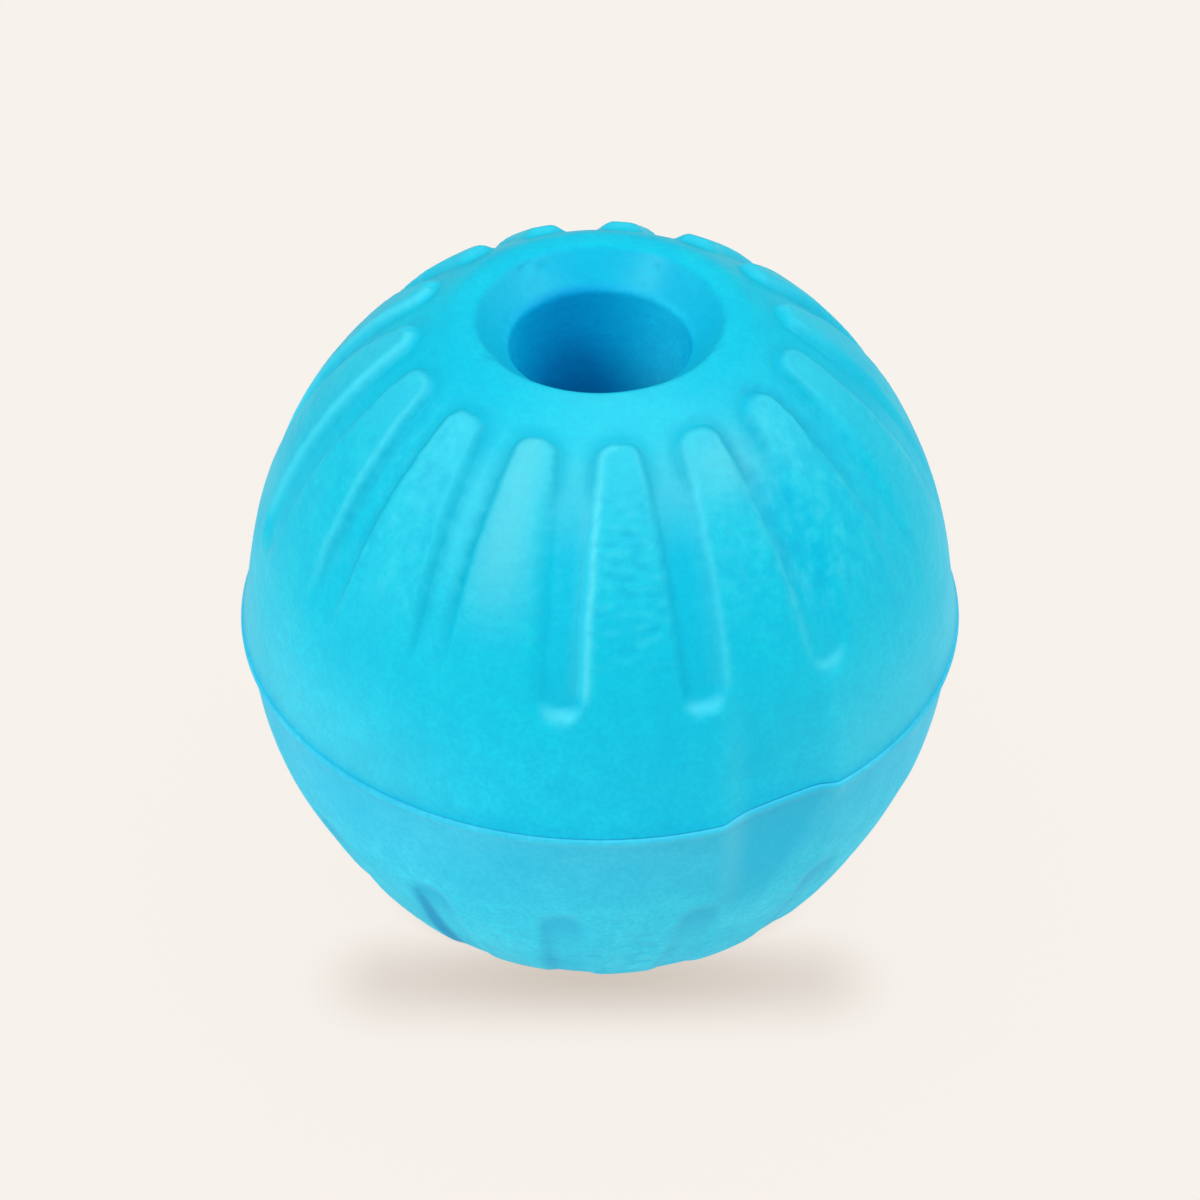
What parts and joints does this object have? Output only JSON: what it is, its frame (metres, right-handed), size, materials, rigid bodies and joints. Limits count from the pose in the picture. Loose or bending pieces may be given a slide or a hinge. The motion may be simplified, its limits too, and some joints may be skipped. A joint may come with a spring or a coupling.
{
  "type": "dog ball",
  "caption": "Moulded foam-rubber dog ball with raised lobes, finger grooves between them and a countersunk bore right through it.",
  "frame": {"origin": "centre of the ball, on the bore's axis in the plane of the seam", "axes": "+Z along the bore, up out of the upper mouth; -Y through the middle of one lobe; +X to its right"},
  "size_m": [0.07, 0.0699, 0.0678],
  "materials": {
    "foam_upper": "matte moulded skin",
    "foam_lower": "matte moulded skin",
    "cement": "satin, cured"
  },
  "bodies": {
    "root": {"upper_half": "foam_upper", "lower_half": "foam_lower", "seam_cement": "cement"}
  },
  "joints": []
}
